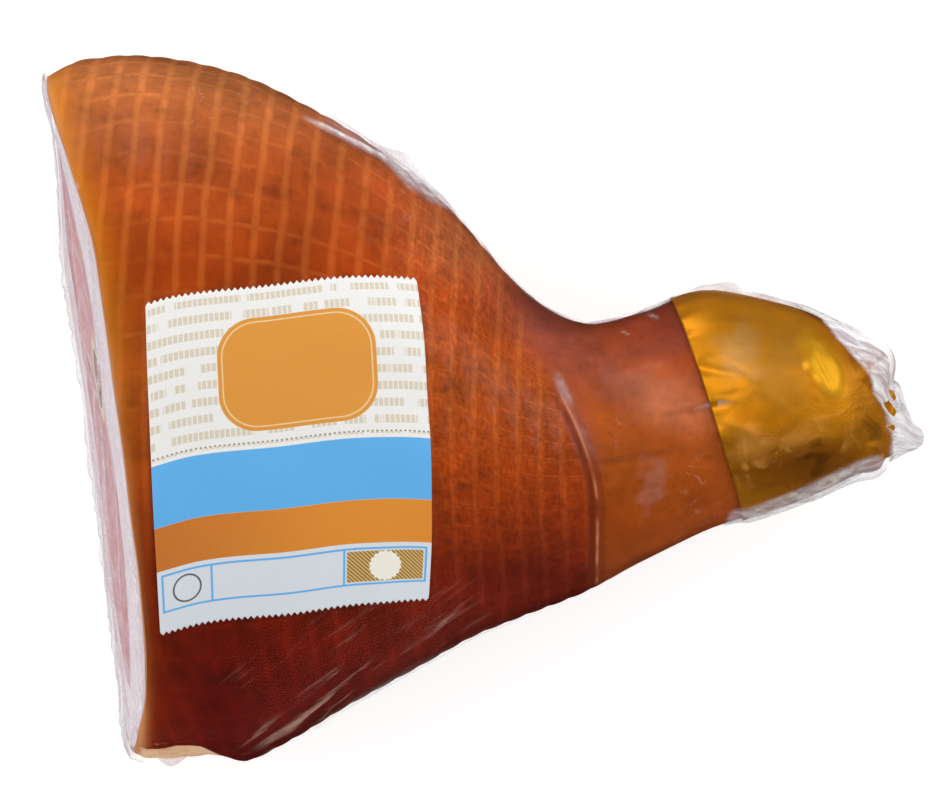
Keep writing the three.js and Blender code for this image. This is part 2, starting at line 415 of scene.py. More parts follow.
body_rings = np.stack([ring_points(at, leg_shares) for at in LEG_AT])
rim = body_rings[0]
rim_middle = rim[:-1].mean(0)
face_rings = rim_middle + FACE_SHARES[:, None, None] * (rim - rim_middle)
face_rings[..., 0] = cut_x(face_rings)
hock_end = body_rings[-1]
hock_middle = hock_end[:-1].mean(0)
hock_rings = np.stack([
    hock_middle + math.cos(turn) ** 0.8 * (hock_end - hock_middle) + [HOCK_ROUND * math.sin(turn), 0, 0]
    for turn in HOCK_TURNS
])
hock_rings[-1] = hock_middle + [HOCK_ROUND, 0, 0]
bare_leg = np.concatenate([face_rings, body_rings, hock_rings])
face_rows = len(face_rings)
print("the leg's grid:", bare_leg.shape[:2])

# %% The crease at the ankle
# The crease crosses the top of the ankle in a slow curve, further along the leg on its lower side.
CREASE_LOW, CREASE_SWING, CREASE_FROM, CREASE_TO = 43.0, 35.0, -40.0, 65.0
CREASE_FOOT = (-76, -62)  # it fades out between these two places on the lower side


def crease_at(y):
    return CREASE_LOW - CREASE_SWING * ease(CREASE_FROM, CREASE_TO, y)


# %% The quilt that the net leaves
MESHES_ROUND = 50
WIDE_HOOP, CLOSE_HOOP = 9.6, 8.3  # hoops stand closer together from the label to the ankle
HOOP_BOW = 8.0  # each hoop bows towards the hock at the leg's sides
LOW_LEAN = 12.0  # near the cut they lean much further on the lower flank
HALF_WIDTH = 130.0


def hoop_count(points):
    """How many hoops of the net lie between the leg's zero and each point."""
    across = points[..., 1]
    x = points[..., 0] - HOOP_BOW * (across / HALF_WIDTH) ** 2
    x = x - LOW_LEAN * ease(88, 132, -across) * ease(30, 125, -x)
    line = spread(-220, 220, 441)
    count = np.cumsum(1 / (WIDE_HOOP + (CLOSE_HOOP - WIDE_HOOP) * ease(-40, 0, line)))
    return np.interp(x, line, count)


hoops = hoop_count(bare_leg)
threads = np.broadcast_to(leg_shares * MESHES_ROUND, hoops.shape)
crease_gap = bare_leg[..., 0] - crease_at(bare_leg[..., 1])
netted = 1 - ease(-7, 3, crease_gap)
netted[:face_rows] = 0
netted[face_rows : face_rows + 5] *= spread(0, 1, 5)[:, None]
QUILT_DEPTH = 0.45
quilt = np.abs(np.sin(math.pi * hoops)) ** 0.8 * (0.55 + 0.45 * np.abs(np.sin(math.pi * threads)) ** 0.6)

# %% Lumps, folds and the crease's relief
def along_line(points, start, end, width):
    """1 along a straight fold seen from above, falling to 0 at its ends and to its sides."""
    start, end = np.array(start), np.array(end)
    way = end - start
    t = np.clip(((points[..., :2] - start) @ way) / (way @ way), 0, 1)
    away = np.linalg.norm(points[..., :2] - start - t[..., None] * way, axis=-1)
    return np.exp(-((away / width) ** 2)) * np.sin(math.pi * np.clip(t, 0.02, 0.98)) ** 0.5


def oval(points, middle, way, length, width, soft=0.25, ragged=0.0):
    """1 inside a slanted oval seen from above, falling to 0 over its soft and ragged edge."""
    way = np.array(way) / np.hypot(*way)
    gap = points[..., :2] - middle
    along, across = gap @ way, gap @ np.array((-way[1], way[0]))
    out = np.hypot(along / length, across / width) + ragged * swell(points, 5, 61)
    return ease(1 + soft, 1 - soft, out)


def skin_relief(points):
    """Lumps of the leg itself, in millimetres, which whatever lies on it shares."""
    x, y, z = np.moveaxis(points, -1, 0)
    from_crease = x - crease_at(y)
    lumps = 0.8 * swell(points, 70, 3) + 0.3 * swell(points, 22, 8) + 0.5
    corner = 3.0 * np.exp(-(((x + 155) / 9) ** 2)) * ease(92, 118, y)
    curl = ease(-108, -126, y) * (
        3.6 * np.exp(-(((x + 90) / 11) ** 2)) + 2.6 * np.exp(-(((x + 126) / 13) ** 2))
    )
    held = ease(12, -6, y) * ease(*CREASE_FOOT, y)  # the crease fades out at both its ends
    groove = -0.35 * np.exp(-(((from_crease + 1.5) / 1.2) ** 2)) - 0.5 * np.exp(-((from_crease / 10) ** 2))
    groove = groove * ease(34, 12, y) * ease(*CREASE_FOOT, y)
    lip = 0.35 * np.exp(-(((from_crease - 0.5) / 0.9) ** 2)) * held
    folds = (
        -0.7 * along_line(points, (41, -23), (73, -17.6), 1.3)
        + 0.4 * along_line(points, (41, -21), (73, -15.6), 1.6)
        - 0.9 * along_line(points, (66, -5), (93, 1), 1.2)
        + 0.5 * along_line(points, (68, -3), (93, 3), 1.2)
        + 0.4 * along_line(points, (59, -43), (72, -34), 0.9)
        + 0.8 * along_line(points, (50, 6), (78, 10), 8)
        - 0.6 * along_line(points, (30, 12), (60, 16), 9)
    )
    return lumps + corner + curl + ease(40, 75, z) * (groove + lip + folds)


LABEL_RISE = math.radians(8.2)
LABEL_MIDDLE = (-71.1, -16.3)


def under_label(points):
    """1 where the label lies, softened at its edges."""
    x, y = points[..., 0] - LABEL_MIDDLE[0], points[..., 1] - LABEL_MIDDLE[1]
    across = x * math.cos(LABEL_RISE) - y * math.sin(LABEL_RISE)
    down = x * math.sin(LABEL_RISE) + y * math.cos(LABEL_RISE)
    high = ease(85, 95, points[..., 2])
    return high * (1 - ease(46, 53, np.abs(across))) * (1 - ease(52, 64, np.abs(down)))


# %% The trimmed corner, and the leg's mesh points
# The rind is trimmed off the fat in a wedge at the lower corner of the cut.
leg_x, leg_y, leg_z = np.moveaxis(bare_leg, -1, 0)
trim_line = -127.2 - 5.8 * ease(-116, -90, leg_x) + 0.8 * swell(bare_leg, 12, 30)
near_cut = ease(-84, -94, leg_x)
trimmed = ease(0.6, -0.9, leg_y - trim_line) * near_cut
rind_lip = np.exp(-(((leg_y - trim_line - 1.4) / 1.3) ** 2)) * near_cut
rind_lip[:face_rows] = 0
trimmed[:face_rows] = 0
FLOOR_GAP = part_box("ham")[0][2] / MM - 0.5
normals = outward(bare_leg)
relief = skin_relief(bare_leg)
relief[:face_rows] *= spread(0.0, 1.0, face_rows)[:, None] ** 6
side_steps = np.linalg.norm(np.diff(bare_leg[:, LEG_COLUMNS // 4], axis=0), axis=1)
run = np.cumsum(np.concatenate([[0], side_steps]))
from_rim = np.abs(run - run[face_rows])
rounding = -0.8 * np.exp(-((from_rim / 1.7) ** 2))[:, None]
quilting = -QUILT_DEPTH * (1 - quilt) * netted * (1 - 0.8 * under_label(bare_leg))
trimming = 0.9 * rind_lip - 0.9 * trimmed
leg_points = settle(bare_leg + normals * (relief + rounding + quilting + trimming)[..., None], FLOOR_GAP)
leg_points[:, -1] = leg_points[:, 0]
leg_points[0], leg_points[-1] = leg_points[0].mean(0), leg_points[-1].mean(0)
print("relief from", relief.min().round(2), "to", relief.max().round(2), "mm")

# %% [markdown]
# ### The rind's colour, with painted light and shade
# Smoking browns a rind unevenly: tan along the upper edge, orange brown over the crown, deep red on the
# lower flank, and pinkish brown at the shank. Part of the darkening towards the lower flank is painted
# shade, and painted shade, sheen and reflection lie in patches over the tones. A short ramp of tones runs
# across the leg for each of the two parts, and the finish then breaks them up.

# %% Tones across the leg
# Each tone has its place across the leg in millimetres, from the lower flank to the upper edge. The ramps
# grow darker towards their edges partly as the rind's own colour and partly as painted shade, and the
# leg's ramp is lighter at the upper edge partly as painted light from the key lamp on that side.
LEG_TONES_AND_SHADE = [
    (-112, "5C0600"), (-64, "641400"), (-44, "822A02"), (-22, "963804"),
    (8, "9E4410"), (50, "963602"), (86, "A04414"), (124, "A65C2E"),
]
SHANK_TONES_AND_SHADE = [(-46, "8E3C04"), (-26, "9A460C"), (-4, "B0521C"), (14, "A84A20"), (32, "722A12")]
# The first of these three tones is painted shade for the leg below its widest point.
UNDERSIDE_SHADE, CUT_RED, UPPER_PALE = "7E3412", "8C2600", "A65A30"


def tone_across(y, tones):
    """The ramp's colour at each place across the leg."""
    places = [place for place, _ in tones]
    colours = np.array([paint(code) for _, code in tones])
    return np.stack([np.interp(y, places, channel) for channel in colours.T], -1)


def tinted(colour, share, tone):
    """A colour mixed with a tone by a share at each point."""
    share = share[..., None]
    return colour * (1 - share) + share * np.array(paint(tone) if isinstance(tone, str) else tone)


# The rind's colour at each point: its tones, with painted shade, sheen and reflection laid over them.
def rind_tone_and_painted_light(points):
    x, y, z = np.moveaxis(points, -1, 0)
    smoked = tinted(tone_across(y, LEG_TONES_AND_SHADE), ease(-5, 6, x - crease_at(y)), tone_across(y, SHANK_TONES_AND_SHADE))
    smoked = tinted(smoked, 0.6 * ease(-95, -145, x) * ease(-40, -85, y), CUT_RED)
    smoked = tinted(smoked, 0.7 * ease(-45, 0, x) * ease(35, 60, y), UPPER_PALE)
    # Painted shade along the top of the shank, by the foil's edge.
    smoked = tinted(smoked, 0.7 * oval(points, (74, 27), (1, 0.25), 17, 9, 0.7), "7A301C")
    smoked = tinted(smoked, 0.5 * oval(points, (66, 13), (1, 0), 5, 3, 0.7), "B4500E")
    smoked = tinted(smoked, 0.5 * oval(points, (36, -6), (0.4, -1), 16, 5, 0.7), "8E4034")
    # A painted pink sheen of the film on the shank.
    smoked = tinted(smoked, 0.45 * oval(points, (70, 0), (1, -0.3), 16, 8, 0.8), "CC7E5C")
    # A painted purple reflection veil of the film near the top of the crease.
    smoked = tinted(smoked, 0.7 * oval(points, (28, 24), (1, -0.8), 28, 9, 0.8), "7C3C30")
    # Painted shade: the leg is darkened below its widest point, towards the floor.
    return tinted(smoked, 0.85 * ease(62, 22, z), UNDERSIDE_SHADE)


# %% Marks for the leg's finish
cut_mark = np.zeros(hoops.shape)
cut_mark[: face_rows + 1] = 1
deep = np.zeros(hoops.shape)
deep[:face_rows] = np.linalg.norm(face_rings - rim, axis=-1)
behind_rim = np.maximum(0, leg_x - rim[:, 0])
# A painted glow of light through the thin rind along the cut's edge, wider and stronger on the upper side.
amber_reach = 1.6 + 3.2 * ease(-70, 40, leg_y)
amber = np.exp(-behind_rim / amber_reach) * (0.55 + 0.45 * ease(-20, 60, leg_y))
amber[:face_rows] = 0
crease_held = ease(12, -4, leg_y) * ease(*CREASE_FOOT, leg_y) * ease(45, 65, leg_z)
# Painted shade where the rind's sides turn steeply down, on the upper part of the leg.
rim_dark = ease(0.55, 0.12, normals[..., 2]) * ease(35, 55, leg_z)
rim_dark[:face_rows] = 0
plaid = netted * ease(-50, -22, leg_x)
glossy = ease(0.35, 0.85, normals[..., 2]) * (0.25 + 0.75 * ease(-70, -20, leg_x))
glossy = glossy * (1 - 0.85 * oval(bare_leg, (62, 24), (1, 0.15), 34, 15, 0.6))
pale_net = ease(-95, 40, leg_y)

ham = sheet_of(
    "ham",
    leg_points,
    {"net": np.stack([threads, hoops], -1)},
    {
        "netted": netted, "cut": cut_mark, "deep": deep, "trimmed": trimmed, "amber": amber, "plaid": plaid,
        "crease_gap": np.clip(crease_gap, -20, 20), "crease_held": crease_held, "rim_dark": rim_dark,
        "glossy": glossy, "pale_net": pale_net, "smoke": rind_tone_and_painted_light(bare_leg),
    },
)
close_up(ham)

# %% [markdown]
# ### The leg's finish
# The rind is one skin with soft paler lines where the net's threads lay and a fine weave between them.
# The film is shrunk so tightly that it reads as a clear coat. On the cut face a thin rind line, a layer
# of white fat and pink muscles with pale seams lie round the sawn bone.

# %% Rind: net lines and weave
rind = Finish("smoked rind and cut meat", Coat_Roughness=0.14, Specular_IOR_Level=0.06)
thread_way, hoop_way, _ = rind.parts(rind.node("ShaderNodeUVMap", {"uv_map": "net"}))
wander = rind.noise(30, 2) - 0.5
fade = rind.noise(22, 3)
netted_mark, plaid_mark = rind.mark("netted"), rind.mark("plaid")


def net_line(way, wobble, width):
    """1 on each line of the net, in meshes from line to line."""
    from_line = 0.5 - abs((way + wander * wobble).fraction() - 0.5)
    return 1 - from_line.ease(width * 0.2, width)


hoop_line = net_line(hoop_way, 0.34, 0.22) * (0.2 + 1.1 * fade)
thread_line = net_line(thread_way, 0.26, 0.11) * (1.5 * rind.noise(26, 3)).ease(0.35, 1.1) * 0.75
net = hoop_line.most(thread_line) * netted_mark
weave = rind.noise(1.0, 2, 0.6, rind.together(thread_way * 9.0, hoop_way * 2.2))
cross_weave = rind.noise(1.0, 2, 0.6, rind.together(thread_way * 2.4, hoop_way * 7.0))
grain = rind.noise(420, 3, 0.65)

# %% Rind: smoke, mottling and spots
mottle = rind.noise(36, 5, 0.64)
blotch = rind.noise(12, 4, 0.62, twist=0.6)
# The rind's colour mark holds its tones together with painted shade, sheen and reflection.
rind_colour = rind.scaled(rind.mark("smoke", "Color"), 0.26 + 1.66 * mottle)
red_blotch = rind.mix(0.5, rind.scaled(rind_colour, 0.5), paint("6C1004"))
rind_colour = rind.mix(blotch.ease(0.52, 0.74) * 0.42, rind_colour, red_blotch)
rind_colour = rind.shaded((1 - blotch.ease(0.24, 0.50)) * 0.5, rind_colour, 1.25)
lighter = rind.mix(rind.mark("pale_net") * 0.18, rind.scaled(rind_colour, 1.42), paint("E0A050"))
rind_colour = rind.mix(net * (0.4 + 0.6 * rind.noise(9, 2)) * (1 - 0.2 * plaid_mark), rind_colour, lighter)
rind_colour = rind.shaded(rind.noise(95, 3, 0.6).ease(0.5, 0.72) * netted_mark * 0.7, rind_colour, 0.70)
streaks = weave.ease(0.45, 0.7) * (0.12 * netted_mark + 0.55 * plaid_mark)
streaks = streaks + cross_weave.ease(0.48, 0.7) * plaid_mark * 0.8
rind_colour = rind.shaded(streaks.least(1.0), rind_colour, 1.32)
shade = (1 - weave.ease(0.25, 0.5)) * (0.15 * netted_mark + 0.6 * plaid_mark)
shade = shade + (1 - cross_weave.ease(0.28, 0.5)) * plaid_mark * 0.8
rind_colour = rind.shaded(shade.least(1.0), rind_colour, 0.76)
fine = rind.noise(210, 4, 0.7)
rind_colour = rind.shaded(grain.ease(0.5, 0.8) * 0.35, rind_colour, 0.72)
rind_colour = rind.shaded(fine.ease(0.52, 0.72) * 0.5, rind_colour, 0.70)
rind_colour = rind.shaded((1 - fine.ease(0.28, 0.46)) * 0.4, rind_colour, 1.30)
spot = (1 - rind.cells(62.0).ease(0.06, 0.17)) * rind.noise(16, 2).ease(0.58, 0.70)
rind_colour = rind.mix(spot * 0.6, rind_colour, paint("5C1808"))
# The painted orange glow of light through the thin rind at the cut's edge.
rind_colour = rind.mix(rind.mark("amber") * (0.55 + 0.6 * mottle), rind_colour, paint("D8840C"))

# %% Rind: the crease, its painted shade, the painted shade at the rim and the trimmed fat
from_crease, crease_shown = rind.mark("crease_gap"), rind.mark("crease_held")
# Painted shade in the crease's groove and just beyond its lip.
crease_painted_shade = (1 - abs(from_crease + 1.5).ease(0.4, 2.2)) + (1 - abs(from_crease - 2.6).ease(0.3, 1.8)) * 0.6
rind_colour = rind.mix(crease_painted_shade.least(1.0) * crease_shown * 0.5, rind_colour, paint("5A1C12"))
crease_line = (1 - abs(from_crease - 0.5).ease(0.2, 0.8)) * rind.noise(70, 2).ease(0.30, 0.62)
rind_colour = rind.mix(crease_line * crease_shown * 0.65, rind_colour, paint("D08C66"))
# Painted shade darkens the rind's steep sides.
rind_colour = rind.shaded(rind.mark("rim_dark") * 0.5, rind_colour, 0.45)
fat_edge = rind.mix(rind.noise(45, 4).ease(0.35, 0.7), paint("E8C09A"), paint("C88A5A"))
rind_colour = rind.mix(rind.mark("trimmed"), rind_colour, fat_edge)

# %% Cut face: fat, muscles, seams and the bone
_, face_y, face_z = rind.parts(rind.place)
bend = rind.noise(16, 3, 0.5, out="Color")
bent = rind.node(
    "ShaderNodeVectorMath",
    {"operation": "MULTIPLY_ADD"},
    {0: bend, 1: (0.0, 0.050, 0.050), 2: rind.stretched(0, 1, 1.3)},
)
MUSCLES = 12.5  # cells to a metre
seam_distance = rind.cells(MUSCLES, where=bent, feature="DISTANCE_TO_EDGE")
muscle_tone = rind.parts(rind.cells(MUSCLES, "Color", bent))[0]
fibre = rind.noise(260, 4, 0.7, rind.stretched(0.2, 1, 1))
depth = rind.mark("deep")
meat = rind.mix(muscle_tone, paint("DFA0A6"), paint("C97C86"))
meat = rind.mix(fibre.ease(0.35, 0.75) * 0.45, meat, paint("EBC3C0"))
marbling = 1 - abs(rind.noise(42, 4, 0.6, bent) - 0.5).ease(0.004, 0.022)
marbling = marbling * rind.noise(25, 2).ease(0.45, 0.65)
seam = ((1 - seam_distance.ease(0.006, 0.030)) * (0.4 + 0.7 * rind.noise(55, 2))).most(marbling * 0.45)
meat = rind.mix(seam.least(1.0), meat, paint("F1E2DC"))
fat_depth = depth + (rind.noise(14, 3) - 0.5) * 26 + (rind.noise(70, 2) - 0.5) * 3
fat = rind.mix(rind.noise(90, 3).ease(0.4, 0.75) * 0.4, paint("F3E8EC"), paint("E6CFDC"))
fat_limit = 21 + 74 * face_z.ease(0.045, 0.120)  # the fat is thickest under the crown
meat = rind.mix(1 - (fat_depth - fat_limit).ease(0, 3), meat, fat)
meat = rind.mix((1 - abs(fat_depth - 8.5).ease(0.3, 1.1)) * 0.65, meat, paint("C890AC"))
meat = rind.mix(1 - depth.ease(0.9, 2.1), meat, paint("C9864E"))
BONE_Y, BONE_Z, BONE_OVAL = 0.010, 0.070, 1.25
bone_out = hypotenuse(face_y - BONE_Y, (face_z - BONE_Z) * BONE_OVAL) + (rind.noise(60, 2) - 0.5) * 0.004
marrow = rind.mix(rind.noise(500, 3).ease(0.4, 0.7), paint("8E4A3A"), paint("C99A80"))
bone = rind.mix(bone_out.ease(0.0108, 0.0118), marrow, paint("EBDDC2"))
meat = rind.mix(1 - bone_out.ease(0.0158, 0.0166), meat, bone)
on_cut = rind.mark("cut")

# %% The leg's sockets
rind_height = net * 0.35 + weave * netted_mark * 0.14 + cross_weave * plaid_mark * 0.14
rind_height = rind_height + grain * 0.10 + mottle * 0.5
meat_height = fibre * 0.20 - seam * 0.25
height = rind_height * (1 - on_cut) + meat_height * on_cut
rind.give(
    Base_Color=rind.mix(on_cut, rind_colour, meat),
    Coat_Weight=rind.mark("glossy") * 0.16,
    Roughness=0.34 + 0.22 * mottle + 0.10 * weave,
    Normal=rind.bump(height, 0.0011, 0.55),
)
dress(ham, rind)
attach(ham, "root")
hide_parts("ham")

# %% [markdown]
# ## The gold foil cap
# Foil is pushed over the hock by hand, so it lies flat on the broad sides and bunches into folds at the
# tip. The same skin carries it, a little outside the leg. Long soft folds, sharp crumples and tight pleats
# at the open edge are shaped in the mesh, and Solidify gives the foil an edge.

# %% The foil's rings, from its slanted edge to its folded tip
FOIL_EDGE, FOIL_SKEW, FOIL_LIFT = 88.0, -0.3, 0.75
FOIL_ROWS, TIP_ROWS, FOIL_COLUMNS = 118, 12, 241
TIP_BULGE = 1.2
foil_shares = spread(0, 1, FOIL_COLUMNS)
foil_rows = []
for share in spread(0, 1, FOIL_ROWS - TIP_ROWS):
    turned = around_ring(FOIL_EDGE + share * (WRAP_END - FOIL_EDGE), foil_shares)
    across = skin(FOIL_EDGE, turned)[:, 1] - SHIFT[1]
    edge = FOIL_EDGE + FOIL_SKEW * across
    foil_rows.append(skin(edge + share * (WRAP_END - 1 - edge), turned))
foil_tip = foil_rows[-1]
tip_middle = foil_tip[:-1].mean(0)
for share in spread(0, 1, TIP_ROWS + 1)[1:]:
    closing = tip_middle + (1 - share) * (foil_tip - tip_middle)
    foil_rows.append(closing + [TIP_BULGE * math.sin(share * math.pi / 2), 0, 0])
bare_foil = np.stack(foil_rows)
print("the foil's grid:", bare_foil.shape[:2])

# %% Creases, ears and crumples
def ridges(points, size, seed):
    """Sharp ridges between smooth hollows: 0 on a ridge and 1 far from it."""
    return np.abs(swell(points, size, seed))


def facets(points, size, seed):
    """Flat facets with straight creases between them, as in crushed foil: 0 on a crease."""
    flat = points.reshape(-1, 3)
    low, high = flat.min(0), flat.max(0)
    count = int(np.prod((high - low) / size))
    centres = np.random.default_rng(seed).uniform(low, high, (count, 3))
    away = np.linalg.norm(flat[:, None] - centres[None], axis=-1)
    nearest = np.partition(away, 1, axis=1)[:, :2]
    return ((nearest[:, 1] - nearest[:, 0]) / size).reshape(points.shape[:2])


def ears(points):
    """Folded ears of spare foil that stand out at both sides of the tip, in millimetres."""
    x, y, _ = np.moveaxis(points, -1, 0)
    upper = 5.6 * np.exp(-(((x - 150) / 7.5) ** 2)) * ease(3, 14, y)
    return upper + 3.0 * np.exp(-(((x - 150) / 6) ** 2)) * ease(-8, -20, y)


toward_tip = ease(112, 158, bare_foil[..., 0])
turn_round = foil_shares[None] * 2 * math.pi
foil_up = ease(48, 66, bare_foil[..., 2])
crushed_low = along_line(bare_foil, (88, -24), (148, -16), 11) * foil_up
crushed_tip = 0.6 * toward_tip * ease(0.2, 0.9, swell(bare_foil, 24, 15))
crushed = np.clip(crushed_low + crushed_tip + 0.8 * (1 - foil_up), 0, 1)
crumple = 0.7 * swell(bare_foil, 34, 11) + (facets(bare_foil, 10, 12) - 0.35) * (0.35 + 1.3 * crushed)
crumple = crumple + 0.55 * (facets(bare_foil, 4.6, 13) - 0.3) * crushed
pleats = (np.abs(np.sin(5.5 * turn_round + 0.9 * swell(bare_foil, 18, 14))) - 0.6) * 1.5
pleats = pleats * ease(138, 158, bare_foil[..., 0])
edge_row = spread(0, 1, FOIL_ROWS)[:, None]
edge_pleats = 0.55 * np.sin(23 * turn_round + 2 * np.sin(3 * turn_round)) * np.exp(-edge_row / 0.04)
bulge = oval(bare_foil, (129, 14.5), (14, -24), 13, 5.5, 0.35, 0.10) * foil_up
creases = (
    1.0 * bulge
    + 0.45 * along_line(bare_foil, (79, 14), (97, 11), 1.6)
    + 0.3 * along_line(bare_foil, (97, 11), (116, -2), 2.4)
    - 0.4 * along_line(bare_foil, (83, 1), (98, 5), 1.1)
    + 0.5 * along_line(bare_foil, (90, -6), (106, -12), 2.6)
    - 0.4 * along_line(bare_foil, (126, 19), (132, 7), 0.9)
    - 0.5 * along_line(bare_foil, (136, 24), (150, 2), 1.4)
)
from_dimple = np.hypot(bare_foil[..., 0] - 139.5, bare_foil[..., 1] + 5) / 4.6
dimple = 0.35 * np.exp(-((from_dimple / 0.9) ** 4)) - 0.45 * np.exp(-(((from_dimple - 1.1) / 0.16) ** 2))
foil_relief = skin_relief(bare_foil) * (1 - toward_tip) + crumple * (0.5 + 0.6 * toward_tip)
foil_relief = foil_relief + pleats + edge_pleats + (creases + dimple) * foil_up + ears(bare_foil)
foil_relief = np.maximum(foil_relief, skin_relief(bare_foil) - 0.1)  # the leg's end stays covered
foil_points = bare_foil + outward(bare_foil) * (FOIL_LIFT + foil_relief)[..., None]
foil_points[:, -1] = foil_points[:, 0]
foil_points[-1] = foil_points[-1].mean(0)

# %% Where the gold is painted pale, bright or brown as reflections, highlights and shade
foil_tone_and_light = np.broadcast_to(np.array(paint("CC8212")), bare_foil.shape[:2] + (4,))
# Patches of painted light on the foil: the pale and bright ones stand for reflections and highlights, and
# the darker brown ones for shade along the lower side and at the tip.
FOIL_PAINTED_LIGHT = [  # middle, way, length, width, softness, share and tone
    ((113, 14), (0, 1), 15, 8, 0.8, 0.5, "B88434"), ((97, 19), (0.3, 1), 9, 7, 0.8, 0.7, "C89656"),
    ((106, -6), (1, -0.3), 12, 6, 0.6, 0.9, "D08008"), ((89, 7), (1, -0.3), 8, 5, 0.6, 0.8, "C07C08"),
    ((101, -15), (1, 0.2), 7, 5, 0.8, 0.7, "E89C40"), ((119, -12), (1, 0.3), 8, 4, 0.8, 0.7, "EA9E44"),
    ((122, -25), (1, 0.1), 30, 7, 0.7, 0.45, "8E4C0A"),
    ((142, 8), (0.3, -1), 12, 5, 0.7, 0.6, "B0701C"),
    ((130, -5), (1, 0.2), 13, 7, 0.8, 0.5, "DC8E14"),
]
# Painted shade along the crushed lower side.
foil_tone_and_light = tinted(foil_tone_and_light, 0.85 * crushed_low, "8A4A08")
for middle, way, length, width, soft, share, tone in FOIL_PAINTED_LIGHT:
    painted_light_patch = oval(bare_foil, middle, way, length, width, soft, 0.28)
    foil_tone_and_light = tinted(foil_tone_and_light, share * painted_light_patch, tone)
# A painted yellow highlight on the bulge.
foil_tone_and_light = tinted(foil_tone_and_light, 0.9 * bulge, "E8A820")
# Painted shade where the foil's sides turn steeply down.
foil_rim_shade = ease(0.6, 0.15, outward(bare_foil)[..., 2]) * ease(30, 40, bare_foil[..., 2])
foil_tone_and_light = tinted(foil_tone_and_light, 0.6 * foil_rim_shade, "9A5E26")
# The foil's point colour carries its gold with the painted reflections, highlights and shade.
hock_foil = sheet_of("hock_foil", foil_points, None, {"crushed": crushed, "tone": foil_tone_and_light})
close_up(hock_foil)
finish_modifier(hock_foil, "SOLIDIFY", thickness=0.3 * MM, offset=-1)

# %% The foil's finish
gold = Finish("gold foil", Metallic=0.65, Specular_IOR_Level=0.1)
crinkle = gold.noise(75, 4, 0.6, twist=0.8)
fine_crinkle = gold.noise(260, 3, 0.6)
broad = gold.noise(18, 3, 0.5)
# The gold's colour starts from the foil's point colour, painted light included, and varies at random.
gold_colour = gold.scaled(gold.mark("tone", "Color"), 0.62 + 0.36 * broad + 0.4 * gold.noise(48, 4, 0.6))
crushed_mark = gold.mark("crushed")
# Painted highlights on the crinkles' ridges and painted shade in their hollows, where the foil is crushed.
gold_colour = gold.mix(crinkle.ease(0.54, 0.70) * crushed_mark * 0.65, gold_colour, paint("F4AC50"))
gold_colour = gold.mix((1 - crinkle.ease(0.30, 0.46)) * crushed_mark * 0.65, gold_colour, paint("5E3004"))
# Long streaks painted lighter as sheen and darker as shade over the gold.
satin_sheen = gold.noise(1.0, 3, 0.55, gold.stretched(22, 60, 40), twist=1.0)
gold_colour = gold.shaded(satin_sheen.ease(0.50, 0.68) * 0.35, gold_colour, 1.35)
gold_colour = gold.shaded((1 - satin_sheen.ease(0.32, 0.46)) * 0.4, gold_colour, 0.62)
gold_height = (abs(crinkle - 0.5) * 1.4 + fine_crinkle * 0.15) * (0.16 + 0.84 * crushed_mark)
gold.give(
    Base_Color=gold_colour,
    Roughness=0.34 + 0.14 * crinkle + 0.06 * fine_crinkle,
    Normal=gold.bump(gold_height, 0.0013, 0.8),
)
dress(hock_foil, gold)
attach(hock_foil, "root")
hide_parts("hock_foil")

# %% [markdown]
# ## The paper label
# The label is a flat sheet wrapped on the leg, so it keeps its size when it is measured along the skin.
# A grid the size of the paper is wrapped on by that measure, its top and bottom edges are pinked, and
# it is given a thickness. Its print is plain bands, rules and panels with no lettering.

# %% Wrapping the label on the leg
LABEL_WIDTH, LABEL_HEIGHT = 100.0, 125.0
LABEL_X, LABEL_ROUND, LABEL_BOW = -71.6, 15.8, 3.5
LABEL_LEAN = math.radians(2.2)
LABEL_COLUMNS, LABEL_ROWS = 177, 97
TEETH, TOOTH_DEPTH = 44, 1.3
over, down = np.meshgrid(spread(-0.5, 0.5, LABEL_COLUMNS), spread(-0.5, 0.5, LABEL_ROWS))
tooth = np.abs((over + 0.5) * TEETH % 1 - 0.5) * 2 * TOOTH_DEPTH
tooth = tooth * np.sign(down) * ease(0.47, 0.5, np.abs(down))
along_label = over * LABEL_WIDTH + LABEL_BOW * (over + 0.5) * (1 - 4 * down**2)
round_label = down * LABEL_HEIGHT - tooth
want_x = LABEL_X + along_label * math.cos(LABEL_RISE) + round_label * math.sin(LABEL_LEAN)
want_round = LABEL_ROUND - along_label * math.sin(LABEL_RISE) + round_label * math.cos(LABEL_LEAN)


def wrapped(x, distance):
    """The places along the leg and the angles that lie at each x and distance round from the crown."""
    at, fine = x.ravel().copy(), spread(-0.1, math.pi + 0.3, 130)
    crown, step = np.searchsorted(fine, math.pi / 2), fine[1] - fine[0]
    x, distance = x.ravel(), distance.ravel()
    for _ in range(6):
        ring = skin(at[:, None], fine[None])
        run = np.cumsum(np.linalg.norm(np.diff(ring, axis=1), axis=2), axis=1)
        run = np.hstack([np.zeros((len(at), 1)), run])
        before, after = run[:, crown - 1], run[:, crown]
        top = before + (after - before) * (math.pi / 2 - fine[crown - 1]) / step
        run = run - top[:, None]
        i = np.clip((run < distance[:, None]).sum(1) - 1, 0, len(fine) - 2)
        row = np.arange(len(at))
        t = (distance - run[row, i]) / (run[row, i + 1] - run[row, i])
        angle = fine[i] + t * step
        at = at + x - (skin(at, angle)[:, 0] - SHIFT[0])
    return at.reshape(over.shape), angle.reshape(over.shape)


